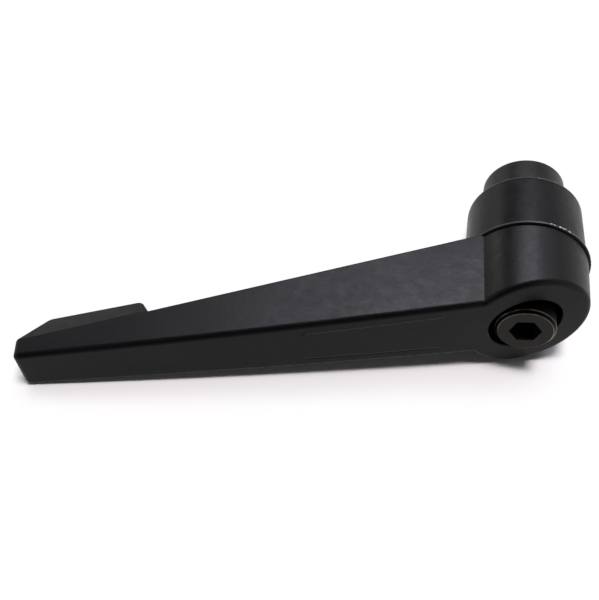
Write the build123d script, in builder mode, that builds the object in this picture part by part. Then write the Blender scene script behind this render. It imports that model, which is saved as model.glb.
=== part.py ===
"""Adjustable clamping lever: a die-cast zinc handle that ratchets on a serrated steel insert.

The lever lies on its side, as it comes to rest unheld, with +Z up. The hub's axis runs along Y. The origin is
the centre of the insert's clamping face, and the hub rises from it towards -Y. The arm points towards -X and
drops a few degrees, because its toe and the hub's widest ring touch the same surface.

Everything is drawn in the lever's own terms: x along the arm, h up the hub, as in a drawing of the part.
"""

import os
from math import asin, atan2, cos, degrees, radians, sin, tan

from build123d import *

os.makedirs("parts", exist_ok=True)

# Driving dimensions, in millimetres and degrees.

# Hub of the handle, measured up the hub from the clamping face
SKIRT_BOTTOM = 10.8         # the insert stands this far out of the hub
SKIRT_MOUTH_RADIUS = 13.46  # skirt at its lower end, before its edge is rounded
SKIRT_EDGE_FILLET = 1.0
SKIRT_LIP_RADIUS = 13.7     # skirt where it meets the parting line
LIP_HEIGHT = 27.5           # parting line of the casting
LIP_RADIUS = 13.95
BEAD_HEIGHT = 27.9          # middle of the bead that runs round the hub at the parting line
BEAD_WIDTH = 1.0
BEAD_CHAMFER = 0.3
BEAD_OUTER_RADIUS = 14.45
HUB_DRAFT = 1.8
TOP_HEIGHT = 44.7           # chord of the top face, where the hub's axis goes through it
TOP_SLOPE = 17.4
TOP_CROWN = 0.8             # the top face bows this far above its chord
CROWN_MIDDLE_X = 44.6

# Arm
ARM_ROOT_X = 10.95          # the arm's underside leaves the parting line here
ARM_HALF_WIDTH_AT_AXIS = 9.1
ARM_SIDE_TAPER = 2.0        # each side, seen in plan
ARM_DRAFT = 0.5
TIP_X = 103.3               # end of the top face
TIP_DEPTH = 4.2             # height of the end face
CREASE_FILLET = 0.4         # where the arm's sides run into the hub
TIP_CORNER_FILLET = 1.3
TOP_EDGE_FILLET = 1.1
UNDERSIDE_EDGE_FILLET = 0.5

# Toe under the end of the arm, for the fingers
TOE_START_X = 79.6          # where the toe leaves the underside
TOE_HEEL = (82.0, 58.2)     # its lowest point, at its hub end
TOE_SLOPE = 22.64
TOE_BREAK_X = 100.1         # from here the toe runs up to the tip
TOE_DRAFT = 12.0            # each side
TOE_HEEL_FILLET = 1.4
TOE_BREAK_FILLET = 2.0
TOE_EDGE_FILLET = 0.45

# Plain panel, raised a little from the top face of the arm
PANEL_START_X = 17.0
PANEL_END_X = 46.5
PANEL_MARGIN = 2.75
PANEL_HEIGHT = 0.12
PANEL_CORNER = 1.0

# Threaded insert
INSERT_RADIUS = 9.9
INSERT_HEIGHT = 26.0
INSERT_CHAMFER = 0.5
THREAD_BORE_RADIUS = 5.1    # M12 tapping size
THREAD_MOUTH_RADIUS = 6.1
THREAD_DEPTH = 14.0
DRILL_POINT_ANGLE = 118.0
SCREW_BORE_RADIUS = 4.0     # M8, drawn plain
SCREW_TIP_HEIGHT = 19.1     # the screw bottoms in the insert here

# Serration: teeth round the top of the insert, and the same form inside the hub
TOOTH_COUNT = 24
SERRATION_BOTTOM = 22.0
TOOTH_TIP_RADIUS = 9.7
TOOTH_ROOT_RADIUS = 8.7
GAP_HALF_ANGLE_TIP = 4.9
GAP_HALF_ANGLE_ROOT = 2.3
FLANK_CLEARANCE = 0.1
AXIAL_CLEARANCE = 0.15
BORE_CLEARANCE = 0.08

# Retaining screw, M8 with a socket head
HEAD_TOP = 47.1
HEAD_HEIGHT = 8.0
HEAD_RADIUS = 6.5
HEAD_CHAMFER = 0.7
SHANK_RADIUS = 3.95
SHANK_TIP_CHAMFER = 0.8
HEX_ACROSS_FLATS = 6.0
HEX_DEPTH = 5.0
HEX_TURN = 10.9
HEX_CONE_DEPTH = 1.0

# Recess for the screw's head and the spring
COUNTERBORE_RADIUS = 7.75
COUNTERBORE_RIM_CHAMFER = 0.2
WEB_TOP = 29.5
SHANK_HOLE_RADIUS = 4.4

# Compression spring, between the web and the screw's head
WIRE_RADIUS = 0.55
WIRE_SIDES = 6              # round wire, drawn with few sides to keep the model light
SPRING_RADIUS = 5.6
SPRING_COILS = 4
SPRING_END_CLEARANCE = 0.08

# Worked-out values
HEAD_BOTTOM = HEAD_TOP - HEAD_HEIGHT
BORE_RADIUS = INSERT_RADIUS + BORE_CLEARANCE
TEETH_BOTTOM = SERRATION_BOTTOM + AXIAL_CLEARANCE
SPRING_PITCH = (HEAD_BOTTOM - WEB_TOP) / SPRING_COILS
CEILING = INSERT_HEIGHT + AXIAL_CLEARANCE
TIP_HEIGHT = TOP_HEIGHT + TIP_X * tan(radians(TOP_SLOPE))
TIP_UNDER = (TIP_X + TIP_DEPTH * sin(radians(TOP_SLOPE)), TIP_HEIGHT - TIP_DEPTH * cos(radians(TOP_SLOPE)))
UNDERSIDE_SLOPE = degrees(atan2(TIP_UNDER[1] - LIP_HEIGHT, TIP_UNDER[0] - ARM_ROOT_X))
TOE_BREAK = (TOE_BREAK_X, TOE_HEEL[1] + (TOE_BREAK_X - TOE_HEEL[0]) * tan(radians(TOE_SLOPE)))
SOLE_MIDDLE = ((TOE_HEEL[0] + TOE_BREAK[0]) / 2, (TOE_HEEL[1] + TOE_BREAK[1]) / 2)
TOE_DEPTH = 8.0             # more than the toe's depth, for the blocks that shape its sides
TOE_LENGTH = 50.0           # more than its length, from the same start
RUN_ON = 8.0                # how far the arm and hub run on below the parting line, until they are blended
TALL = 90.0                 # above everything, for blocks that are trimmed later


def arm_half_width(x, height=LIP_HEIGHT):
    """Half the arm's width, at a distance along it and a height up the hub."""
    return (
        ARM_HALF_WIDTH_AT_AXIS
        - x * tan(radians(ARM_SIDE_TAPER))
        - (height - LIP_HEIGHT) * tan(radians(ARM_DRAFT))
    )


def hub_radius(height):
    """Radius of the hub's body, above the parting line."""
    return LIP_RADIUS - (height - LIP_HEIGHT) * tan(radians(HUB_DRAFT))


def underside(x):
    """Height of the arm's underside at a distance along it."""
    return LIP_HEIGHT + (x - ARM_ROOT_X) * tan(radians(UNDERSIDE_SLOPE))


def toe_half_width(x, height):
    """Half the toe's width, at a distance along it and a height below the underside's line."""
    below = (underside(x) - height) * tan(radians(TOE_DRAFT))
    return arm_half_width(x, underside(x)) - below


# The arm drops until the corner of its tip is as low as the bead of the hub
DROOP = degrees(asin((BEAD_OUTER_RADIUS - arm_half_width(*TIP_UNDER)) / TIP_UNDER[0]))

# Planes of the drawing. PLAN looks down on the top of the hub, SIDE looks at the side of the lever.
ARM_DIRECTION = Vector(-cos(radians(DROOP)), 0, -sin(radians(DROOP)))
HUB_DIRECTION = Vector(0, -1, 0)
HUB_AXIS = Axis((0, 0, 0), HUB_DIRECTION)
PLAN = Plane(origin=(0, 0, 0), x_dir=ARM_DIRECTION, z_dir=HUB_DIRECTION)
SIDE = Plane(origin=(0, 0, 0), x_dir=ARM_DIRECTION, z_dir=ARM_DIRECTION.cross(HUB_DIRECTION))


def toe_side_plane(side):
    """Plane across the arm at the toe's start, on one lower edge. Its x points out of the arm's side."""
    start, end = [PLAN.from_local_coords((x, side * arm_half_width(x, underside(x)), underside(x)))
                  for x in (TOE_START_X - 1, TIP_X)]
    along = (end - start).normalized()
    out = along.cross(along.cross(PLAN.y_dir * -side))
    return Plane(origin=start, x_dir=out, z_dir=along)


def arm_top(x):
    """Height of the crowned top face at a distance along the arm. At the tip it is the chord's."""
    off_middle = (x - CROWN_MIDDLE_X) / (TIP_X - CROWN_MIDDLE_X)
    return TOP_HEIGHT + x * tan(radians(TOP_SLOPE)) + TOP_CROWN * (1 - off_middle ** 2)


def below_top(raised):
    """Side view of everything under the top face, or under a face that is raised from it."""
    reach = TIP_X + TIP_DEPTH - CROWN_MIDDLE_X
    points = [(x, arm_top(x) + raised) for x in (CROWN_MIDDLE_X - reach, CROWN_MIDDLE_X, CROWN_MIDDLE_X + reach)]
    with BuildSketch(SIDE) as area:
        with BuildLine():
            ThreePointArc(*points)
            Polyline(points[2], (points[2][0], 0), (points[0][0], 0), points[0])
        make_face()
    return area.sketch


def to_world(x, y, h):
    """A point of the drawing as a point of the model."""
    return PLAN.from_local_coords(Vector(x, y, h))


# Outline of the serration, seen along the hub: a disc with a V-shaped gap between each pair of teeth
with BuildSketch() as serration:
    Circle(TOOTH_TIP_RADIUS)
    root_x = TOOTH_ROOT_RADIUS * cos(radians(GAP_HALF_ANGLE_ROOT))
    root_y = TOOTH_ROOT_RADIUS * sin(radians(GAP_HALF_ANGLE_ROOT))
    tip_x = TOOTH_TIP_RADIUS * cos(radians(GAP_HALF_ANGLE_TIP))
    tip_y = TOOTH_TIP_RADIUS * sin(radians(GAP_HALF_ANGLE_TIP))
    mouth_x = 2 * tip_x - root_x
    mouth_y = 2 * tip_y - root_y
    with PolarLocations(0, TOOTH_COUNT):
        Polygon((root_x, root_y), (root_x, -root_y), (mouth_x, -mouth_y), (mouth_x, mouth_y),
                align=None, mode=Mode.SUBTRACT)

# Upper casting: the arm, drawn out of its plan with draft and trimmed to its side view, then the hub's body
# round it. Both run on below the parting line until they are blended, so that the crease has no loose end.
with BuildPart() as upper_casting:
    with BuildSketch(PLAN.offset(LIP_HEIGHT - RUN_ON)):
        arm_end = TIP_UNDER[0] + 1
        Polygon((0, arm_half_width(0)), (0, -arm_half_width(0)), (arm_end, -arm_half_width(arm_end)),
                (arm_end, arm_half_width(arm_end)), align=None)
    extrude(amount=TALL - LIP_HEIGHT + RUN_ON)
    side_walls = upper_casting.faces().sort_by(Axis((0, 0, 0), PLAN.y_dir))
    draft([side_walls[0], side_walls[-1]], PLAN.offset(LIP_HEIGHT), ARM_DRAFT)
    with BuildSketch(SIDE) as arm_profile:
        end_at_tall = (TIP_X - (TALL - TIP_HEIGHT) * tan(radians(TOP_SLOPE)), TALL)
        Polygon((0, underside(0)), (TOE_START_X, underside(TOE_START_X)), TOE_HEEL, TOE_BREAK, TIP_UNDER,
                end_at_tall, (0, TALL), align=None)
        fillet(arm_profile.vertices().sort_by_distance(TOE_HEEL)[0], TOE_HEEL_FILLET)
        fillet(arm_profile.vertices().sort_by_distance(TOE_BREAK)[0], TOE_BREAK_FILLET)
    extrude(amount=LIP_RADIUS, both=True, mode=Mode.INTERSECT)
    tip_corners = [(TIP_X, side * arm_half_width(*TIP_UNDER), TIP_HEIGHT) for side in (1, -1)]
    fillet([upper_casting.edges().sort_by_distance(to_world(*corner))[0] for corner in tip_corners],
           TIP_CORNER_FILLET)
    middle = (TIP_X / 2, underside(TIP_X / 2))
    under_edges = [(middle[0], side * arm_half_width(*middle), middle[1]) for side in (1, -1)]
    fillet([upper_casting.edges().sort_by_distance(to_world(*edge))[0] for edge in under_edges],
           UNDERSIDE_EDGE_FILLET)
    # The toe's sides lean in from the line of the underside
    for side in (1, -1):
        with BuildSketch(toe_side_plane(side)):
            lean = TOE_DEPTH * tan(radians(TOE_DRAFT))
            Polygon((0, 0), (TOE_DEPTH, 0), (TOE_DEPTH, -side * TOE_DEPTH), (-lean, -side * TOE_DEPTH), align=None)
        extrude(amount=TOE_LENGTH, mode=Mode.SUBTRACT)
    sole_edges = [(SOLE_MIDDLE[0], side * toe_half_width(*SOLE_MIDDLE), SOLE_MIDDLE[1]) for side in (1, -1)]
    fillet([upper_casting.edges().sort_by_distance(to_world(*edge))[0] for edge in sole_edges], TOE_EDGE_FILLET)
    with BuildSketch(SIDE):
        hub_foot = LIP_HEIGHT - RUN_ON
        Polygon((0, hub_foot), (hub_radius(hub_foot), hub_foot), (hub_radius(TALL), TALL), (0, TALL),
                align=None)
    revolve(axis=HUB_AXIS)
    fillet(upper_casting.edges(Select.NEW), CREASE_FILLET)
    split(bisect_by=PLAN.offset(LIP_HEIGHT), keep=Keep.TOP)
    extrude(below_top(0), amount=LIP_RADIUS, both=True, mode=Mode.INTERSECT)
    top_face = upper_casting.faces().sort_by_distance(to_world(TIP_X / 2, 0, arm_top(TIP_X / 2)))[0]
    fillet(top_face.outer_wire().edges(), TOP_EDGE_FILLET)

with BuildPart() as lever_handle:
    # Skirt of the hub, below the parting line
    with BuildSketch(SIDE) as skirt_profile:
        Polygon((0, SKIRT_BOTTOM), (SKIRT_MOUTH_RADIUS, SKIRT_BOTTOM), (SKIRT_LIP_RADIUS, LIP_HEIGHT),
                (0, LIP_HEIGHT), align=None)
        fillet(skirt_profile.vertices().sort_by_distance((SKIRT_MOUTH_RADIUS, SKIRT_BOTTOM))[0],
               SKIRT_EDGE_FILLET)
        with Locations((BEAD_OUTER_RADIUS - BEAD_WIDTH / 2, BEAD_HEIGHT)):
            Rectangle(BEAD_WIDTH, BEAD_WIDTH)
        bead_corners = [(BEAD_OUTER_RADIUS, BEAD_HEIGHT + side * BEAD_WIDTH / 2) for side in (1, -1)]
        chamfer([skirt_profile.vertices().sort_by_distance(corner)[0] for corner in bead_corners], BEAD_CHAMFER)
    revolve(axis=HUB_AXIS)
    add(upper_casting.part)

    # Plain panel, raised from the top face
    with BuildPart(mode=Mode.PRIVATE) as panel:
        with BuildSketch(PLAN) as panel_outline:
            start_y, end_y = [arm_half_width(x, arm_top(x)) - PANEL_MARGIN for x in (PANEL_START_X, PANEL_END_X)]
            Polygon((PANEL_START_X, start_y), (PANEL_START_X, -start_y), (PANEL_END_X, -end_y),
                    (PANEL_END_X, end_y), align=None)
            fillet(panel_outline.vertices(), PANEL_CORNER)
        extrude(amount=TALL)
        extrude(below_top(PANEL_HEIGHT), amount=LIP_RADIUS, both=True, mode=Mode.INTERSECT)
        split(bisect_by=PLAN.offset(TOP_HEIGHT), keep=Keep.TOP)
    add(panel.part)

    # Bores: the insert's bore, the hole for the screw, and the recess for its head
    with BuildSketch(SIDE):
        Polygon((0, SKIRT_BOTTOM - 1), (BORE_RADIUS, SKIRT_BOTTOM - 1), (BORE_RADIUS, TEETH_BOTTOM),
                (SHANK_HOLE_RADIUS, TEETH_BOTTOM), (SHANK_HOLE_RADIUS, WEB_TOP),
                (COUNTERBORE_RADIUS, WEB_TOP), (COUNTERBORE_RADIUS, TALL), (0, TALL), align=None)
    revolve(axis=HUB_AXIS, mode=Mode.SUBTRACT)
    rim = lever_handle.edges().sort_by_distance(to_world(0, COUNTERBORE_RADIUS, TOP_HEIGHT))[0]
    chamfer(rim, COUNTERBORE_RIM_CHAMFER)

    # Internal serration: the insert's own outline with clearance on its flanks
    with BuildSketch(PLAN.offset(TEETH_BOTTOM)):
        add(serration.sketch)
        offset(amount=FLANK_CLEARANCE, kind=Kind.INTERSECTION)
    extrude(amount=CEILING - TEETH_BOTTOM, mode=Mode.SUBTRACT)

with BuildPart() as threaded_insert:
    with BuildSketch(SIDE) as insert_profile:
        Polygon((0, 0), (INSERT_RADIUS, 0), (INSERT_RADIUS, SERRATION_BOTTOM), (0, SERRATION_BOTTOM),
                align=None)
        chamfer(insert_profile.vertices().sort_by_distance((INSERT_RADIUS, 0))[0], INSERT_CHAMFER)
    revolve(axis=HUB_AXIS)
    with BuildSketch(PLAN.offset(SERRATION_BOTTOM)):
        add(serration.sketch)
    extrude(amount=INSERT_HEIGHT - SERRATION_BOTTOM)
    # Tapped bore from below, with its drill point, and the screw's tapped bore from above
    drill_point = THREAD_BORE_RADIUS / tan(radians(DRILL_POINT_ANGLE / 2))
    mouth_depth = THREAD_MOUTH_RADIUS - THREAD_BORE_RADIUS
    with BuildSketch(SIDE):
        Polygon((0, 0), (THREAD_MOUTH_RADIUS, 0), (THREAD_BORE_RADIUS, mouth_depth),
                (THREAD_BORE_RADIUS, THREAD_DEPTH), (0, THREAD_DEPTH + drill_point), align=None)
        Polygon((0, SCREW_TIP_HEIGHT), (SCREW_BORE_RADIUS, SCREW_TIP_HEIGHT),
                (SCREW_BORE_RADIUS, INSERT_HEIGHT), (0, INSERT_HEIGHT), align=None)
    revolve(axis=HUB_AXIS, mode=Mode.SUBTRACT)

with BuildPart() as retaining_screw:
    with BuildSketch(SIDE) as screw_profile:
        Polygon((0, SCREW_TIP_HEIGHT), (SHANK_RADIUS, SCREW_TIP_HEIGHT), (SHANK_RADIUS, HEAD_BOTTOM),
                (HEAD_RADIUS, HEAD_BOTTOM), (HEAD_RADIUS, HEAD_TOP), (0, HEAD_TOP), align=None)
        chamfer(screw_profile.vertices().sort_by_distance((HEAD_RADIUS, HEAD_TOP))[0], HEAD_CHAMFER)
        chamfer(screw_profile.vertices().sort_by_distance((SHANK_RADIUS, SCREW_TIP_HEIGHT))[0],
                SHANK_TIP_CHAMFER)
    revolve(axis=HUB_AXIS)
    # Hexagon socket with a coned floor
    with BuildSketch(PLAN.offset(HEAD_TOP)):
        RegularPolygon(HEX_ACROSS_FLATS / 2, 6, major_radius=False, rotation=HEX_TURN)
    extrude(amount=-HEX_DEPTH, mode=Mode.SUBTRACT)
    socket_floor = HEAD_TOP - HEX_DEPTH
    with BuildSketch(SIDE):
        Polygon((0, socket_floor - HEX_CONE_DEPTH), (HEX_ACROSS_FLATS / 2, socket_floor),
                (0, socket_floor), align=None)
    revolve(axis=HUB_AXIS, mode=Mode.SUBTRACT)

with BuildPart() as compression_spring:
    with BuildLine() as wire_path:
        Helix(pitch=SPRING_PITCH, height=SPRING_PITCH * SPRING_COILS, radius=SPRING_RADIUS,
              center=to_world(0, 0, WEB_TOP), direction=HUB_DIRECTION)
    with BuildSketch(wire_path.line ^ 0):
        RegularPolygon(WIRE_RADIUS, WIRE_SIDES)
    sweep()
    # Ends ground flat
    split(bisect_by=PLAN.offset(WEB_TOP + SPRING_END_CLEARANCE), keep=Keep.TOP)
    split(bisect_by=PLAN.offset(HEAD_BOTTOM - SPRING_END_CLEARANCE), keep=Keep.BOTTOM)

lever_handle.part.label = "lever_handle"
export_step(lever_handle.part, "parts/lever_handle.step")

threaded_insert.part.label = "threaded_insert"
export_step(threaded_insert.part, "parts/threaded_insert.step")

retaining_screw.part.label = "retaining_screw"
export_step(retaining_screw.part, "parts/retaining_screw.step")

compression_spring.part.label = "compression_spring"
export_step(compression_spring.part, "parts/compression_spring.step")
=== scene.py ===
"""Adjustable clamping lever: its finishes, tapped insert, spring and studio.

Laid out as a Blender add-on and run as a script. Everything is in metres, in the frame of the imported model: +Z
is up, the hub's axis runs along Y from the clamping face at the origin towards -Y, and the arm points to -X.
"""

from functools import partial
from math import cos, pi, radians, sin, tan

import bmesh
import bpy
from bpy.props import FloatProperty, FloatVectorProperty, IntProperty, PointerProperty
from mathutils import Matrix, Vector


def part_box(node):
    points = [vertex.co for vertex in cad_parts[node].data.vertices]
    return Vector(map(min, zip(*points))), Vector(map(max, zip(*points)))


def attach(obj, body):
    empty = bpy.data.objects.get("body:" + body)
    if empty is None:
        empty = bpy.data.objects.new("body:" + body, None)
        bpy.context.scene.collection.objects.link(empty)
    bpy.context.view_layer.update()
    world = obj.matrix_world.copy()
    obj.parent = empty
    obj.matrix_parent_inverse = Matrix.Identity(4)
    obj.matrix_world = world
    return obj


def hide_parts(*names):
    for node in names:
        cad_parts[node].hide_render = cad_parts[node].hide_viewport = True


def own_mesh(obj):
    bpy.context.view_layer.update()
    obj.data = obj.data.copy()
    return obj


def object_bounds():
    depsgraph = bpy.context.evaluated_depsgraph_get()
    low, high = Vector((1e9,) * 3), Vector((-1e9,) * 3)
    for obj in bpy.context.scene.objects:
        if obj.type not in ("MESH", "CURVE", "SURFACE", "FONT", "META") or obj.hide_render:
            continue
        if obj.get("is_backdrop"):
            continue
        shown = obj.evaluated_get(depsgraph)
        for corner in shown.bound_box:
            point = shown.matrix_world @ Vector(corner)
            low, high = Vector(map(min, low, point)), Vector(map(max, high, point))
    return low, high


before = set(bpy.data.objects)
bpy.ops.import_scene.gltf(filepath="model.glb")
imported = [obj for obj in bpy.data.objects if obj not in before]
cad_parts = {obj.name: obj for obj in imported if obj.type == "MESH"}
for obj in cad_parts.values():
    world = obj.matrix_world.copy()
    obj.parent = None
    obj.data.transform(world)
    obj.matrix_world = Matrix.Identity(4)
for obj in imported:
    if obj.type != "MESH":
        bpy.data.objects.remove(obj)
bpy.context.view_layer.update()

bl_info = {
    "name": "Adjustable Clamping Lever",
    "version": (1, 0, 0),
    "blender": (4, 5, 0),
    "location": "View3D > Sidebar > Lever",
    "description": "Finishes a clamping lever and builds its tapped insert, its spring and a studio",
    "category": "Object",
}

MM = 0.001
HUB_AXIS = Vector((0, -1, 0))   # from the clamping face towards the screw's head
INSERT_TOP = -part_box("threaded_insert")[0].y
SPRING_LOW, SPRING_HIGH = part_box("compression_spring")

# Places on the handle. Heights are up the hub, from the clamping face
ARM_DROOP = radians(5.157)
PARTING_RING = 27.75 * MM
SKIRT_MOUTH = 11.25 * MM
SKIRT_MIDDLE = 17.0 * MM
KNOCKED_ANGLE = 0.22    # the side of the hub that was knocked, in radians from its top
ARM_TOP = 49.5 * MM
PANEL_START, PANEL_END = 17.0 * MM, 46.5 * MM           # along the arm, from the hub's axis
PANEL_HALF_AT_START, PANEL_HALF_AT_END = 5.554 * MM, 4.442 * MM

# Places on the retaining screw's head
HEAD_FACE = 46.2 * MM
# Beyond this radius the head's side and chamfer are painted near black as painted shade; the edge radii carry painted
# highlights
SHADED_SIDE_RADIUS = 5.9 * MM
EDGE_RADII = (5.8 * MM, 6.46 * MM)

# The camera and what the lamps aim at
CAMERA_PLACE = (-0.03927, -0.14749, 0.11663)
CAMERA_AIM = (-0.04904, -0.05092, 0)
CAMERA_ROLL = radians(6.905)
LAMP_AIM = (-0.03, -0.03, 0)
TOE_AIM = (-0.09, -0.06, 0)
COOL_WHITE, WARM_WHITE, WHITE = "F5F3FF", "FFF8FA", "FFFFFF"


def srgb(hex_colour):
    """A linear RGB triple from an sRGB hex value."""
    channels = [int(hex_colour[i:i + 2], 16) / 255 for i in (0, 2, 4)]
    return tuple(c / 12.92 if c <= 0.04045 else ((c + 0.055) / 1.055) ** 2.4 for c in channels)


def lighter(colour, gain, lift):
    """A colour multiplied by a gain and lifted by a little grey."""
    return tuple(min(1.0, channel * gain + lift) for channel in colour)


def per_mm(size_mm):
    """The scale of a texture on object coordinates whose features are this many millimetres across."""
    return 1000 / size_mm


# Settings


class LeverFinishSettings(bpy.types.PropertyGroup):
    coat_colour: FloatVectorProperty(
        name="Coat Colour", description="Colour of the handle's powder coat",
        subtype="COLOR", size=3, min=0, max=1, default=srgb("080809"))
    coat_roughness: FloatProperty(
        name="Coat Roughness", description="Roughness of the powder coat", default=0.33, min=0, max=1,
        subtype="FACTOR")
    orange_peel: FloatProperty(
        name="Orange Peel", description="Width of the ripples in the powder coat", default=0.9 * MM,
        min=0.1 * MM, max=5 * MM, unit="LENGTH", precision=5)
    wear: FloatProperty(
        name="Wear", description="How much of the hub's ring has lost its coat", default=0.5, min=0, max=1,
        subtype="FACTOR")
    insert_colour: FloatVectorProperty(
        name="Insert Colour", description="Colour of the insert's black oxide",
        subtype="COLOR", size=3, min=0, max=1, default=srgb("0F0F10"))
    screw_colour: FloatVectorProperty(
        name="Screw Colour", description="Colour of the screw's black oxide",
        subtype="COLOR", size=3, min=0, max=1, default=srgb("171412"))
    spring_colour: FloatVectorProperty(
        name="Spring Colour", description="Colour of the bare spring wire",
        subtype="COLOR", size=3, min=0, max=1, default=srgb("A3A29F"))


class InsertSettings(bpy.types.PropertyGroup):
    pitch: FloatProperty(
        name="Thread Pitch", description="Distance between the insert's threads", default=1.75 * MM,
        min=0.5 * MM, max=4 * MM, unit="LENGTH", precision=5)
    major_radius: FloatProperty(
        name="Thread Radius", description="Radius at the thread's roots", default=6.0 * MM,
        min=2 * MM, max=9 * MM, unit="LENGTH", precision=5)
    body_radius: FloatProperty(
        name="Body Radius", description="Radius of the insert's body", default=9.9 * MM,
        min=7 * MM, max=20 * MM, unit="LENGTH", precision=5)
    bore_radius: FloatProperty(
        name="Bore Radius", description="Radius of the tapped hole before it was tapped", default=5.1 * MM,
        min=2 * MM, max=9 * MM, unit="LENGTH", precision=5)
    bore_depth: FloatProperty(
        name="Bore Depth", description="Depth of the tapped hole's wall", default=14.0 * MM,
        min=4 * MM, max=18 * MM, unit="LENGTH", precision=5)
    tooth_count: IntProperty(
        name="Teeth", description="Teeth round the top of the insert", default=24, min=6, max=60)
    rings_per_turn: IntProperty(
        name="Rings per Turn", description="Rings of faces in each turn of thread", default=16, min=8, max=32)


class SpringSettings(bpy.types.PropertyGroup):
    coils: IntProperty(name="Coils", description="Turns of wire", default=4, min=2, max=12)
    wire_radius: FloatProperty(
        name="Wire Radius", description="Radius of the spring wire", default=0.53 * MM,
        min=0.1 * MM, max=1 * MM, unit="LENGTH", precision=5)
    keep: FloatProperty(
        name="Lifted Length", description="Share of the spring's length that is left when the handle is up",
        default=0.52, min=0.3, max=1, subtype="FACTOR")


class StudioSettings(bpy.types.PropertyGroup):
    floor_size: FloatProperty(
        name="Floor Size", description="Width of the floor", default=3.0, min=1, unit="LENGTH")
    lens: FloatProperty(
        name="Lens", description="Focal length of the camera", default=42.0, min=10, unit="CAMERA")
    behind_power: FloatProperty(
        name="Power Behind", description="Power of the small softbox behind the lever", default=1.9, min=0,
        unit="POWER")
    wide_power: FloatProperty(
        name="Wide Power Behind", description="Power of the wide softbox behind the lever", default=5.5, min=0,
        unit="POWER")
    left_power: FloatProperty(
        name="Power at the Left", description="Power of the low softbox at the left", default=0.17, min=0,
        unit="POWER")
    overhead_power: FloatProperty(
        name="Power Overhead", description="Power of the softbox over the lever", default=3.4, min=0,
        unit="POWER")
    front_power: FloatProperty(
        name="Power in Front", description="Power of the softbox that fills the shadow", default=0.12, min=0,
        unit="POWER")


# Nodes


def add_node(tree, kind, inputs=None, output=None, **settings):
    """Adds a node with its settings and links, and gives the output that is named, or its first that is in use.

    An input is given by name or number, and gets a socket to link, a number, a vector or a colour.
    """
    node = tree.nodes.new(kind)
    for name, value in settings.items():
        setattr(node, name, value)
    for name, value in (inputs or {}).items():
        socket = node.inputs[name] if isinstance(name, int) else next(
            s for s in node.inputs if s.enabled and s.name == name)
        if isinstance(value, bpy.types.NodeSocket):
            tree.links.new(value, socket)
        else:
            socket.default_value = (*value, 1.0) if socket.type == "RGBA" else value
    return node.outputs[output] if output else next((s for s in node.outputs if s.enabled), None)


def new_material(name):
    """An empty material, what adds nodes to it, and the object coordinates that its patterns read."""
    material = bpy.data.materials.new(name)
    material.use_nodes = True
    material.node_tree.nodes.clear()
    add = partial(add_node, material.node_tree)
    return material, add, add("ShaderNodeTexCoord", output="Object")


def hub_coordinates(add, place):
    """Height up the hub, radius and angle round it, in metres and radians. The angle is 0 at the top."""
    x, y, z = add("ShaderNodeSeparateXYZ", {0: place}).node.outputs
    height = add("ShaderNodeMath", {0: y, 1: -1.0}, operation="MULTIPLY")
    squares = [add("ShaderNodeMath", {0: side, 1: side}, operation="MULTIPLY") for side in (x, z)]
    radius = add("ShaderNodeMath", {
        0: add("ShaderNodeMath", {0: squares[0], 1: squares[1]}, operation="ADD")}, operation="SQRT")
    angle = add("ShaderNodeMath", {0: x, 1: z}, operation="ARCTAN2")
    return height, radius, angle


def arm_coordinates(add, place):
    """Distance along the drooping arm and distance across it, in metres."""
    directions = ((-cos(ARM_DROOP), 0, -sin(ARM_DROOP)), (-sin(ARM_DROOP), 0, cos(ARM_DROOP)))
    return [add("ShaderNodeVectorMath", {0: place, 1: way}, "Value", operation="DOT_PRODUCT") for way in directions]


def band(add, value, middle, half_width, soft):
    """1 within half_width of the middle, falling to 0 over the soft distance."""
    offset = add("ShaderNodeMath", {0: value, 1: middle}, operation="SUBTRACT")
    away = add("ShaderNodeMath", {0: offset}, operation="ABSOLUTE")
    return add("ShaderNodeMapRange", {"Value": away, "From Min": half_width + soft, "From Max": half_width})


# Finishes


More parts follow.
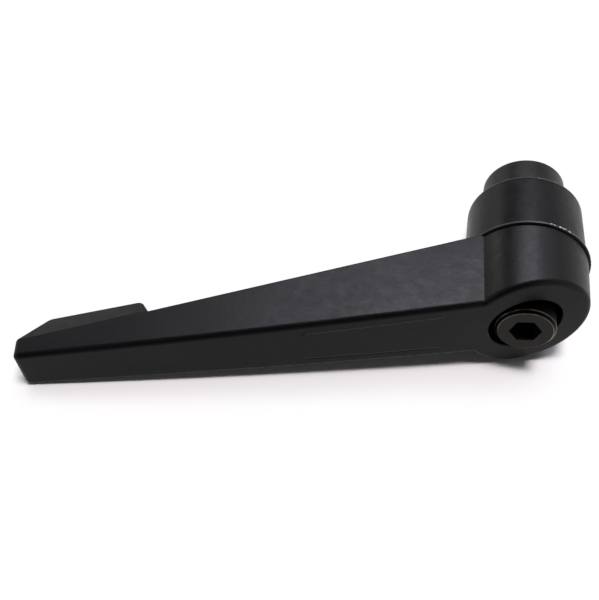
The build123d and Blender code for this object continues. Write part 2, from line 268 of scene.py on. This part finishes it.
def bare_zinc_and_ring_highlight(add, place, wear, cloud):
    """Where the coat is gone from the hub, or the hub is painted lighter, from 0 to 1.

    The parting ring is painted a little lighter all round, as a painted highlight along its bead, and the rim of the
    skirt's mouth is a little lighter all round. Both are knocked through to the zinc on one side, and the hub has a
    few specks there.
    """
    height, radius, angle = hub_coordinates(add, place)
    ring = band(add, height, PARTING_RING, half_width=0.3 * MM, soft=0.15 * MM)
    mouth = band(add, height, SKIRT_MOUTH, half_width=0.12 * MM, soft=0.15 * MM)
    hub_wall = band(add, height, SKIRT_MIDDLE, half_width=11.0 * MM, soft=3.0 * MM)
    knocked_side = band(add, angle, KNOCKED_ANGLE, half_width=0.14, soft=0.22)
    outside = add("ShaderNodeMapRange", {"Value": radius, "From Min": 13.7 * MM, "From Max": 14.0 * MM})
    outside_of_mouth = add("ShaderNodeMapRange", {"Value": radius, "From Min": 12.0 * MM, "From Max": 12.4 * MM})

    chip_noise = add("ShaderNodeTexNoise", {
        "Vector": place, "Scale": per_mm(0.9), "Detail": 3.0, "Roughness": 0.7})
    chips = add("ShaderNodeMapRange", {
        "Value": chip_noise, "From Min": 0.6 - 0.2 * wear, "From Max": 0.68 - 0.2 * wear})
    speck_distance = add("ShaderNodeTexVoronoi", {
        "Vector": place, "Scale": per_mm(2.4), "Randomness": 1.0}, "Distance")
    specks = add("ShaderNodeMapRange", {"Value": speck_distance, "From Min": 0.13, "From Max": 0.08})
    # A painted highlight all round the parting ring's bead, and a little lightening all round the mouth's rim
    ring_highlight, mouth_lightening = (
        add("ShaderNodeMapRange", {"Value": cloud, "From Min": 0.3, "From Max": 0.7, "To Min": least, "To Max": most})
        for least, most in ((0.04, 0.15), (0.02, 0.1)))

    bare_and_highlight = 0.0
    for masks in ((ring, outside, knocked_side, chips), (ring, outside, ring_highlight),
                  (mouth, outside_of_mouth, knocked_side, chips), (mouth, outside_of_mouth, mouth_lightening),
                  (hub_wall, outside, knocked_side, specks)):
        share = masks[0]
        for mask in masks[1:]:
            share = add("ShaderNodeMath", {0: share, 1: mask}, operation="MULTIPLY")
        bare_and_highlight = add("ShaderNodeMath", {0: bare_and_highlight, 1: share}, operation="MAXIMUM")
    return bare_and_highlight


def panel_edges(add, place):
    """The raised panel's long edges on the arm's top, from 0 to 1: a painted highlight line along the upper one and a
    painted shade line along the lower one.
    """
    height = hub_coordinates(add, place)[0]
    along, across = arm_coordinates(add, place)
    half_width = add("ShaderNodeMapRange", {
        "Value": along, "From Min": PANEL_START, "From Max": PANEL_END,
        "To Min": PANEL_HALF_AT_START, "To Max": PANEL_HALF_AT_END})
    middle, short_of_ends = (PANEL_START + PANEL_END) / 2, 0.75 * MM
    between_ends = band(
        add, along, middle, half_width=(PANEL_END - PANEL_START) / 2 - short_of_ends, soft=0.6 * MM)
    on_top = add("ShaderNodeMapRange", {
        "Value": height, "From Min": ARM_TOP - 0.1 * MM, "From Max": ARM_TOP + 0.1 * MM})
    edges = []
    # The first line is a painted highlight along the upper edge, the second a painted shade line along the lower edge
    # For each edge: where it is, how far in its line runs, half its width, its soft rim, and its strength
    for operation, inwards, half_line, soft, strength in (("SUBTRACT", 0.0, 0.12 * MM, 0.16 * MM, 0.8),
                                                          ("ADD", 0.25 * MM, 0.14 * MM, 0.22 * MM, 0.85)):
        from_edge = add("ShaderNodeMath", {0: across, 1: half_width}, operation=operation)
        edge = band(add, from_edge, inwards, half_width=half_line, soft=soft)
        for mask in (between_ends, on_top, strength):
            edge = add("ShaderNodeMath", {0: edge, 1: mask}, operation="MULTIPLY")
        edges.append(edge)
    return edges


def powder_coated_zinc(settings):
    """Zinc die casting with a satin black powder coat.

    The cured powder gives a soft broad sheen over a very dark ground, with a fine orange peel and a mottle that
    is a little glossier and duller by turns. It holds pale dust, and wears through to the zinc where it is knocked.
    The raised panel has a painted highlight along its upper edge and a painted shade line along its lower edge, and
    the parting ring has a faint painted highlight all round.
    """
    material, add, place = new_material("powder_coated_zinc")
    # Each pattern's width in mm, its detail and its roughness. The grain is coarser than the real one, to show at all
    patterns = {"peel": (settings.orange_peel / MM, 2.0, 0.5), "grain": (0.22, 2.0, 0.6), "mottle": (2.2, 4.0, 0.65),
                "cloud": (14.0, 3.0, 0.5), "handling": (32.0, 4.0, 0.6)}
    noise = {name: add("ShaderNodeTexNoise", {
        "Vector": place, "Scale": per_mm(width), "Detail": detail, "Roughness": roughness})
        for name, (width, detail, roughness) in patterns.items()}
    bare_and_highlight = bare_zinc_and_ring_highlight(add, place, settings.wear, noise["cloud"])
    panel_highlight_line, panel_shade_line = panel_edges(add, place)

    dust = add("ShaderNodeMapRange", {
        "Value": noise["cloud"], "From Min": 0.35, "From Max": 0.75, "To Min": 0.0, "To Max": 0.35})
    colour = settings.coat_colour
    # Pale dust, a painted highlight and a painted shade line along the panel's edges, and bare zinc with a painted
    # highlight round the parting ring
    for share, over in ((dust, lighter(settings.coat_colour, 1.8, 0.001)), (panel_highlight_line, srgb("363639")),
                        (panel_shade_line, srgb("020202")), (bare_and_highlight, srgb("B9B7B2"))):
        colour = add("ShaderNodeMix", {"Factor": share, "A": colour, "B": over}, data_type="RGBA")

    handled = add("ShaderNodeMapRange", {
        "Value": noise["handling"], "From Min": 0.3, "From Max": 0.7,
        "To Min": settings.coat_roughness - 0.05, "To Max": settings.coat_roughness + 0.06})
    mottled = add("ShaderNodeMapRange", {
        "Value": noise["mottle"], "From Min": 0.3, "From Max": 0.7, "To Min": -0.055, "To Max": 0.055})

    # Where the coat is left, and away from the painted shade line, which also gets a shallow bump groove
    coat_left, clear_of_shade_line = (
        add("ShaderNodeMath", {0: 1.0, 1: mask}, operation="SUBTRACT") for mask in (bare_and_highlight, panel_shade_line))
    normal = None
    for relief, depth_mm in ((noise["peel"], 0.025), (noise["grain"], 0.008), (coat_left, 0.05),
                             (clear_of_shade_line, 0.15)):
        below = {"Normal": normal} if normal else {}
        normal = add("ShaderNodeBump", {"Height": relief, "Distance": depth_mm * MM, "Strength": 1.0, **below})

    # The painted shade line is drawn as metal only to take its sheen away, as a dark metal reflects next to nothing
    shader = add("ShaderNodeBsdfPrincipled", {
        "Base Color": colour, "Metallic": add("ShaderNodeMath", {0: bare_and_highlight, 1: panel_shade_line}, operation="MAXIMUM"),
        "Roughness": add("ShaderNodeMath", {0: handled, 1: mottled}, operation="ADD"), "IOR": 1.5,
        "Specular IOR Level": 0.1, "Normal": normal})
    add("ShaderNodeOutputMaterial", {"Surface": shader})
    return material


def screw_head_shade_and_highlights(add, height, radius, cloud):
    """Where the screw's head has painted shade on its side and chamfer, and where the edges round its face have
    painted highlights, each from 0 to 1.
    """
    shaded_side = add("ShaderNodeMapRange", {
        "Value": radius, "From Min": SHADED_SIDE_RADIUS - 0.06 * MM, "From Max": SHADED_SIDE_RADIUS})
    patchy = add("ShaderNodeMapRange", {
        "Value": cloud, "From Min": 0.4, "From Max": 0.6, "To Min": 0.2, "To Max": 1.0})
    on_face = add("ShaderNodeMapRange", {
        "Value": height, "From Min": HEAD_FACE, "From Max": HEAD_FACE + 0.1 * MM})
    edges = []
    for edge_radius in EDGE_RADII:
        edge = band(add, radius, edge_radius, half_width=0.04 * MM, soft=0.08 * MM)
        for mask in (patchy, on_face):
            edge = add("ShaderNodeMath", {0: edge, 1: mask}, operation="MULTIPLY")
        edges.append(edge)
    return shaded_side, edges


def black_oxide_steel(name, colour, stain, gloss, tool_mark_mm, screw_head=False):
    """Turned steel with a black oxide finish.

    The oxide is thin, so it keeps the steel's dull metal sheen and the lathe's fine rings, and goes brown where oil
    has dried on it. A screw head's side and chamfer are painted near black as painted shade, and the edges round
    its face carry painted highlights.
    """
    material, add, place = new_material(name)
    height, radius, _ = hub_coordinates(add, place)
    cloud, fine = (
        add("ShaderNodeTexNoise", {"Vector": place, "Scale": per_mm(width), "Detail": detail, "Roughness": 0.6})
        for width, detail in ((5.0, 4.0), (0.5, 3.0)))
    # The tool marks run round the axis, so their noise reads only height and radius. A little waver is in them
    waver = add("ShaderNodeMath", {0: fine, 1: 0.05 * MM}, operation="MULTIPLY")
    mark_place = add("ShaderNodeCombineXYZ", {
        0: add("ShaderNodeMath", {0: height, 1: waver}, operation="ADD"), 1: radius})
    marks = add("ShaderNodeTexNoise", {
        "Vector": mark_place, "Scale": per_mm(tool_mark_mm), "Detail": 2.0, "Roughness": 0.6})

    stained = add("ShaderNodeMapRange", {"Value": cloud, "From Min": 0.35, "From Max": 0.7})
    marked = add("ShaderNodeMapRange", {"Value": marks, "From Min": 0.35, "From Max": 0.75, "To Max": 0.4})
    layers = [(stained, stain), (marked, lighter(colour, 1.9, 0.01))]
    metallic = 0.4
    if screw_head:
        shaded_side, edges = screw_head_shade_and_highlights(add, height, radius, cloud)
        # Painted shade on the head's side and chamfer, and painted highlights on the edges round its face
        layers += [(shaded_side, srgb("060606")), *((edge, srgb("6B6660")) for edge in edges)]
        metallic = add("ShaderNodeMapRange", {"Value": shaded_side, "To Min": metallic, "To Max": 0.9})
    for share, over in layers:
        colour = add("ShaderNodeMix", {"Factor": share, "A": colour, "B": over}, data_type="RGBA")

    normal = None
    for relief, depth_mm in ((marks, 0.012), (fine, 0.004)):
        below = {"Normal": normal} if normal else {}
        normal = add("ShaderNodeBump", {"Height": relief, "Distance": depth_mm * MM, "Strength": 1.0, **below})
    roughness = add("ShaderNodeMapRange", {
        "Value": cloud, "From Min": 0.3, "From Max": 0.7, "To Min": 0.33, "To Max": 0.48})
    shader = add("ShaderNodeBsdfPrincipled", {
        "Base Color": colour, "Metallic": metallic, "Roughness": roughness, "Specular IOR Level": gloss,
        "Normal": normal})
    add("ShaderNodeOutputMaterial", {"Surface": shader})
    return material


def drawn_spring_steel(settings):
    """Drawn spring wire, left bare: a greyish metal with fine uneven streaks and a trace of oil."""
    material, add, place = new_material("drawn_spring_steel")
    streaks = add("ShaderNodeTexNoise", {
        "Vector": place, "Scale": per_mm(0.35), "Detail": 3.0, "Roughness": 0.6})
    oil = add("ShaderNodeTexNoise", {"Vector": place, "Scale": per_mm(3.0), "Detail": 2.0, "Roughness": 0.5})
    oiled = add("ShaderNodeMapRange", {"Value": oil, "From Min": 0.4, "From Max": 0.7, "To Max": 0.6})
    colour = add("ShaderNodeMix", {
        "Factor": oiled, "A": settings.spring_colour, "B": srgb("6E675C")}, data_type="RGBA")
    roughness = add("ShaderNodeMapRange", {
        "Value": streaks, "From Min": 0.3, "From Max": 0.7, "To Min": 0.24, "To Max": 0.42})
    normal = add("ShaderNodeBump", {"Height": streaks, "Distance": 0.006 * MM, "Strength": 1.0})
    shader = add("ShaderNodeBsdfPrincipled", {
        "Base Color": colour, "Metallic": 1.0, "Roughness": roughness, "Normal": normal})
    add("ShaderNodeOutputMaterial", {"Surface": shader})
    return material


def seen_directly(add):
    """1 for a ray from the camera, off a glossy surface or through a clear one, which all show the white paper."""
    rays = add("ShaderNodeLightPath").node.outputs
    bent = add("ShaderNodeMath", {0: rays["Is Glossy Ray"], 1: rays["Is Transmission Ray"]}, operation="MAXIMUM")
    return add("ShaderNodeMath", {0: rays["Is Camera Ray"], 1: bent}, operation="MAXIMUM")


def matt_paper():
    """White background paper: plain white away from the lever, and lit as paper is in the shadow close to it."""
    material, add, place = new_material("matt_background_paper")
    fibres = add("ShaderNodeTexNoise", {"Vector": place, "Scale": per_mm(1.5), "Detail": 3.0, "Roughness": 0.5})
    paper = add("ShaderNodeBsdfDiffuse", {
        "Color": srgb("EFEFEF"),
        "Normal": add("ShaderNodeBump", {"Height": fibres, "Distance": 0.01 * MM, "Strength": 1.0})})
    plain = add("ShaderNodeEmission", {"Color": srgb(WHITE), "Strength": 1.0})
    open_air = add("ShaderNodeAmbientOcclusion", {"Distance": 18 * MM}, "AO", samples=16)
    away = add("ShaderNodeMapRange", {"Value": open_air, "From Min": 0.55, "From Max": 0.96})
    share = add("ShaderNodeMath", {0: away, 1: seen_directly(add)}, operation="MULTIPLY")
    mixed = add("ShaderNodeMixShader", {0: share, 1: paper, 2: plain})
    add("ShaderNodeOutputMaterial", {"Surface": mixed})
    return material


def black_felt():
    """Black felt, which sends back a little light."""
    material, add, place = new_material("black_felt")
    wool = add("ShaderNodeTexNoise", {"Vector": place, "Scale": per_mm(4.0), "Detail": 3.0, "Roughness": 0.5})
    colour = add("ShaderNodeMix", {"Factor": wool, "A": srgb("262626"), "B": srgb("323232")}, data_type="RGBA")
    add("ShaderNodeOutputMaterial", {"Surface": add("ShaderNodeBsdfDiffuse", {"Color": colour})})
    return material


def surroundings():
    """Plain white all round where the camera or a glossy surface looks past the floor, and little light from it."""
    world = bpy.data.worlds.new("studio")
    world.use_nodes = True
    world.node_tree.nodes.clear()
    add = partial(add_node, world.node_tree)
    strength = add("ShaderNodeMapRange", {"Value": seen_directly(add), "To Min": 0.1, "To Max": 1.0})
    add("ShaderNodeOutputWorld", {
        "Surface": add("ShaderNodeBackground", {"Color": srgb(WHITE), "Strength": strength})})
    return world


# Pieces


def give_material(piece, material):
    piece.data.materials.clear()
    piece.data.materials.append(material)


def ring_of_points(mesh, angles, height, radius_at):
    """One ring of vertices round the hub's axis. The radius is a function of the angle."""
    return [mesh.verts.new((radius_at(a) * cos(a), -height, radius_at(a) * sin(a))) for a in angles]


def join_rings(mesh, rings):
    """Quads between each ring and the next, round the whole ring."""
    for low, high in zip(rings, rings[1:]):
        for i, corner in enumerate(low):
            j = (i + 1) % len(low)
            mesh.faces.new((corner, low[j], high[j], high[i]))


def close_ring(mesh, ring, height):
    """A pole on the hub's axis, joined to a ring by triangles."""
    pole = mesh.verts.new((0, -height, 0))
    for i, corner in enumerate(ring):
        mesh.faces.new((corner, ring[(i + 1) % len(ring)], pole))


def smooth_by_angle(piece, degrees):
    """Smooth shading that keeps the edges sharper than an angle."""
    for face in piece.data.polygons:
        face.use_smooth = True
    piece.data.set_sharp_from_angle(angle=radians(degrees))


def thread_radius(settings, height, angle):
    """Radius of the tapped wall: a 60 degree thread with a flat crest and root, in a bore with a cone mouth."""
    half_crest, flank_length = 0.08, 0.32   # in pitches
    runout_start, runout_length = settings.bore_depth - 1.2 * MM, 1.0 * MM
    mouth_radius = 6.1 * MM
    phase = (height / settings.pitch + angle / (2 * pi)) % 1.0
    depth = settings.major_radius - settings.bore_radius
    flank = min(1.0, max(0.0, (0.5 - abs(phase - 0.5) - half_crest) / flank_length))
    runout = min(1.0, max(0.0, (runout_start - height) / runout_length))
    return max(settings.bore_radius + depth * flank * runout, mouth_radius - height)


def build_insert_mesh(settings):
    """The insert: clamping face, tapped hole, chamfered body, serrated top and the bore for the screw."""
    outer, chamfer = settings.body_radius, 0.5 * MM
    tooth_foot, tip_radius, root_radius = 22.0 * MM, 9.7 * MM, 8.7 * MM
    gap_at_tip, gap_at_root = radians(4.9), radians(2.3)   # half of the gap between two teeth
    screw_bore, screw_bore_floor = 4.0 * MM, 19.1 * MM
    drill_point = settings.bore_radius / tan(radians(59))
    step = 2 * pi / settings.tooth_count
    # Angles of one tooth's pitch, each with its radius on the serration's outline
    outline = [(-gap_at_tip, tip_radius), (-gap_at_root, root_radius), (0.0, root_radius),
               (gap_at_root, root_radius), (gap_at_tip, tip_radius), (step / 2, tip_radius)]
    tooth_radius = {tooth * step + offset: radius
                    for tooth in range(settings.tooth_count) for offset, radius in outline}

    mesh = bmesh.new()
    ring = partial(ring_of_points, mesh, list(tooth_radius))
    count = round(settings.bore_depth / (settings.pitch / settings.rings_per_turn))
    heights = [settings.bore_depth * (1 - i / count) for i in range(count + 1)]
    tapped = [ring(h, lambda a, h=h: thread_radius(settings, h, a)) for h in heights]
    body = [ring(0, lambda a: outer - chamfer), ring(chamfer, lambda a: outer), ring(tooth_foot, lambda a: outer)]
    teeth = [ring(tooth_foot, tooth_radius.get), ring(INSERT_TOP, tooth_radius.get)]
    bore = [ring(INSERT_TOP, lambda a: screw_bore), ring(screw_bore_floor, lambda a: screw_bore)]
    join_rings(mesh, [*tapped, *body, *teeth, *bore])
    close_ring(mesh, tapped[0], settings.bore_depth + drill_point)
    close_ring(mesh, bore[-1], screw_bore_floor)
    bmesh.ops.recalc_face_normals(mesh, faces=mesh.faces)
    data = bpy.data.meshes.new("insert_body")
    mesh.to_mesh(data)
    mesh.free()
    return data


def spring_tree(material):
    """Geometry nodes for a coil: a spiral swept with a round wire. Also gives its inputs' identifiers by name."""
    tree = bpy.data.node_groups.new("coil_spring", "GeometryNodeTree")
    identifiers = {
        name: tree.interface.new_socket(name=name, in_out="INPUT", socket_type="NodeSocketFloat").identifier
        for name in ("Coils", "Coil Radius", "Wire Radius", "Length")}
    tree.interface.new_socket(name="Geometry", in_out="OUTPUT", socket_type="NodeSocketGeometry")
    add = partial(add_node, tree)
    sizes = add("NodeGroupInput").node.outputs
    spiral = add("GeometryNodeCurveSpiral", {
        "Resolution": 72, "Rotations": sizes["Coils"], "Start Radius": sizes["Coil Radius"],
        "End Radius": sizes["Coil Radius"], "Height": sizes["Length"], "Reverse": False})
    wire = add("GeometryNodeCurvePrimitiveCircle", {"Resolution": 20, "Radius": sizes["Wire Radius"]})
    swept = add("GeometryNodeCurveToMesh", {"Curve": spiral, "Profile Curve": wire, "Fill Caps": True})
    smooth = add("GeometryNodeSetShadeSmooth", {"Geometry": swept})
    real = add("GeometryNodeRealizeInstances", {"Geometry": smooth})
    finish = add("GeometryNodeSetMaterial", {"Geometry": real, "Material": material})
    add("NodeGroupOutput", {"Geometry": finish})
    return tree, identifiers


def piece_from_tree(name, tree, values):
    """Evaluates a geometry node tree into a plain mesh object. Values go to its inputs by identifier."""
    carrier = bpy.data.objects.new(name + "_carrier", bpy.data.meshes.new(name + "_empty"))
    bpy.context.scene.collection.objects.link(carrier)
    modifier = carrier.modifiers.new("Nodes", "NODES")
    modifier.node_group = tree
    for identifier, value in values.items():
        modifier[identifier] = value
    bpy.context.view_layer.update()
    evaluated = carrier.evaluated_get(bpy.context.evaluated_depsgraph_get())
    data = bpy.data.meshes.new_from_object(evaluated)
    bpy.data.objects.remove(carrier)
    piece = bpy.data.objects.new(name, data)
    bpy.context.scene.collection.objects.link(piece)
    return piece


# Studio


def point_at(piece, place, target, roll=0.0):
    """Puts an object somewhere, facing a target, turned about its line of sight."""
    aim = (Vector(target) - Vector(place)).to_track_quat("-Z", "Y").to_matrix().to_4x4()
    piece.matrix_world = Matrix.Translation(place) @ aim @ Matrix.Rotation(roll, 4, "Z")


def add_softbox(name, place, size, power, colour=WHITE, aim=LAMP_AIM, diffuse=True, reflection=True):
    """A rectangular lamp that the camera doesn't see. It may leave out its diffuse light or its reflection."""
    lamp = bpy.data.lights.new(name, "AREA")
    lamp.color = srgb(colour)
    lamp.shape, (lamp.size, lamp.size_y), lamp.energy = "RECTANGLE", size, power
    piece = bpy.data.objects.new(name, lamp)
    piece.visible_camera, piece.visible_diffuse, piece.visible_glossy = False, diffuse, reflection
    bpy.context.scene.collection.objects.link(piece)
    point_at(piece, place, aim)


def build_floor(height, half):
    """The sheet of paper that the lever lies on."""
    data = bpy.data.meshes.new("floor")
    data.from_pydata([(-half, -half, height), (half, -half, height), (half, half, height), (-half, half, height)],
                     [], [(0, 1, 2, 3)])
    floor = bpy.data.objects.new("floor", data)
    bpy.context.scene.collection.objects.link(floor)
    give_material(floor, matt_paper())
    floor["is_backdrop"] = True


def build_black_flags(floor_height):
    """Black cloth overhead, in front and high at the back, which leaves the coat's edges something dark to reflect.

    It is clear of the paper by more than the reach of the paper's shadow, and the sides are open.
    """
    left, right, near, far, roof = -0.9, 0.6, -0.9, 0.9, 0.95
    front_foot, back_foot = floor_height + 0.03, 0.4
    vertices = [(left, near, front_foot), (right, near, front_foot), (right, near, roof), (left, near, roof),
                (left, far, roof), (right, far, roof), (right, far, back_foot), (left, far, back_foot)]
    data = bpy.data.meshes.new("black_flags")
    data.from_pydata(vertices, [], [(0, 1, 2, 3), (3, 2, 5, 4), (4, 5, 6, 7)])
    flags = bpy.data.objects.new("black_flags", data)
    bpy.context.scene.collection.objects.link(flags)
    flags.visible_camera = False
    give_material(flags, black_felt())
    flags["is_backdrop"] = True


# Operators


class LEVER_OT_finish_handle(bpy.types.Operator):
    """Gives the die-cast handle its powder coat"""
    bl_idname = "lever.finish_handle"
    bl_label = "Finish Handle"

    def execute(self, context):
        give_material(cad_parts["lever_handle"], powder_coated_zinc(context.scene.lever_finish))
        return {"FINISHED"}


class LEVER_OT_build_insert(bpy.types.Operator):
    """Builds the steel insert with its tapped hole and serrated top"""
    bl_idname = "lever.build_insert"
    bl_label = "Build Threaded Insert"

    def execute(self, context):
        insert = bpy.data.objects.new("tapped_insert", build_insert_mesh(context.scene.lever_insert))
        context.scene.collection.objects.link(insert)
        smooth_by_angle(insert, degrees=32)
        give_material(insert, black_oxide_steel(
            "black_oxide_turned_steel", context.scene.lever_finish.insert_colour, stain=srgb("1E1C18"), gloss=0.12,
            tool_mark_mm=0.35))
        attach(insert, "core")
        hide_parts("threaded_insert")
        return {"FINISHED"}


class LEVER_OT_finish_screw(bpy.types.Operator):
    """Gives the retaining screw its black oxide"""
    bl_idname = "lever.finish_screw"
    bl_label = "Finish Retaining Screw"

    def execute(self, context):
        give_material(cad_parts["retaining_screw"], black_oxide_steel(
            "black_oxide_screw_steel", context.scene.lever_finish.screw_colour, stain=srgb("1F1914"), gloss=0.15,
            tool_mark_mm=0.3, screw_head=True))
        return {"FINISHED"}


class LEVER_OT_build_spring(bpy.types.Operator):
    """Builds the compression spring under the screw's head"""
    bl_idname = "lever.build_spring"
    bl_label = "Build Spring"

    def execute(self, context):
        settings = context.scene.lever_spring
        tree, names = spring_tree(drawn_spring_steel(context.scene.lever_finish))
        wire = settings.wire_radius
        low, high = -SPRING_HIGH.y, -SPRING_LOW.y
        spring = piece_from_tree("coil_spring", tree, {
            names["Coils"]: float(settings.coils), names["Coil Radius"]: SPRING_HIGH.x - wire,
            names["Wire Radius"]: wire, names["Length"]: high - low - 2 * wire})
        # The spiral rises along +Z from the origin, so it is laid along the hub's axis
        spring.data.transform(Matrix.Translation(HUB_AXIS * (low + wire)) @ Matrix.Rotation(pi / 2, 4, "X"))
        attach(spring, "spring")
        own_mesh(spring)
        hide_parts("compression_spring")
        return {"FINISHED"}


class LEVER_OT_build_studio(bpy.types.Operator):
    """Builds the floor, the lamps, the surroundings and the camera"""
    bl_idname = "lever.build_studio"
    bl_label = "Build Studio"

    def execute(self, context):
        scene, settings = context.scene, context.scene.lever_studio
        floor_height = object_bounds()[0].z
        build_floor(floor_height, settings.floor_size / 2)
        build_black_flags(floor_height)

        # The wide one lights the lever. The small ones behind and at the left only show in the coat's gloss
        add_softbox("softbox_wide", place=(-0.03, 0.36, 0.68), size=(0.9, 0.5), power=settings.wide_power,
                    colour=COOL_WHITE)
        add_softbox("softbox_behind", place=(-0.09, 0.36, 0.57), size=(0.3, 0.18), power=settings.behind_power,
                    colour=COOL_WHITE, diffuse=False)
        add_softbox("softbox_left", place=(-0.38, 0.31, 0.17), size=(0.16, 0.14), power=settings.left_power,
                    aim=TOE_AIM, diffuse=False)
        # The one overhead makes the shadow on the paper, and the front one fills it
        add_softbox("softbox_overhead", place=(0.03, -0.07, 0.6), size=(0.14, 0.14), power=settings.overhead_power,
                    colour=WARM_WHITE, reflection=False)
        add_softbox("softbox_front", place=(-0.05, -0.5, 0.3), size=(0.4, 0.3), power=settings.front_power,
                    reflection=False)

        scene.world = surroundings()
        camera = bpy.data.objects.new("camera", bpy.data.cameras.new("camera"))
        camera.data.lens = settings.lens
        camera.data.sensor_width = 36
        camera.data.clip_start = 0.01
        scene.collection.objects.link(camera)
        point_at(camera, CAMERA_PLACE, CAMERA_AIM, CAMERA_ROLL)
        scene.camera = camera
        scene.view_settings.view_transform = "Standard"
        return {"FINISHED"}


OPERATORS = (LEVER_OT_finish_handle, LEVER_OT_build_insert, LEVER_OT_finish_screw, LEVER_OT_build_spring,
             LEVER_OT_build_studio)
SETTINGS = {"lever_finish": LeverFinishSettings, "lever_insert": InsertSettings, "lever_spring": SpringSettings,
            "lever_studio": StudioSettings}


class LEVER_PT_panel(bpy.types.Panel):
    """Lists the lever's pieces and their settings"""
    bl_idname = "LEVER_PT_panel"
    bl_label = "Clamping Lever"
    bl_space_type = "VIEW_3D"
    bl_region_type = "UI"
    bl_category = "Lever"

    def draw(self, context):
        for operator in OPERATORS:
            self.layout.operator(operator.bl_idname)
        for name, group in SETTINGS.items():
            box = self.layout.box()
            for key in group.__annotations__:
                box.prop(getattr(context.scene, name), key)


def register():
    for cls in (*SETTINGS.values(), *OPERATORS, LEVER_PT_panel):
        bpy.utils.register_class(cls)
    for name, group in SETTINGS.items():
        setattr(bpy.types.Scene, name, PointerProperty(type=group))


def unregister():
    for name in SETTINGS:
        delattr(bpy.types.Scene, name)
    for cls in reversed((*SETTINGS.values(), *OPERATORS, LEVER_PT_panel)):
        bpy.utils.unregister_class(cls)


def main():
    register()
    bpy.ops.lever.finish_handle()
    bpy.ops.lever.build_insert()
    bpy.ops.lever.finish_screw()
    bpy.ops.lever.build_spring()
    bpy.ops.lever.build_studio()


if __name__ == "__main__":
    main()
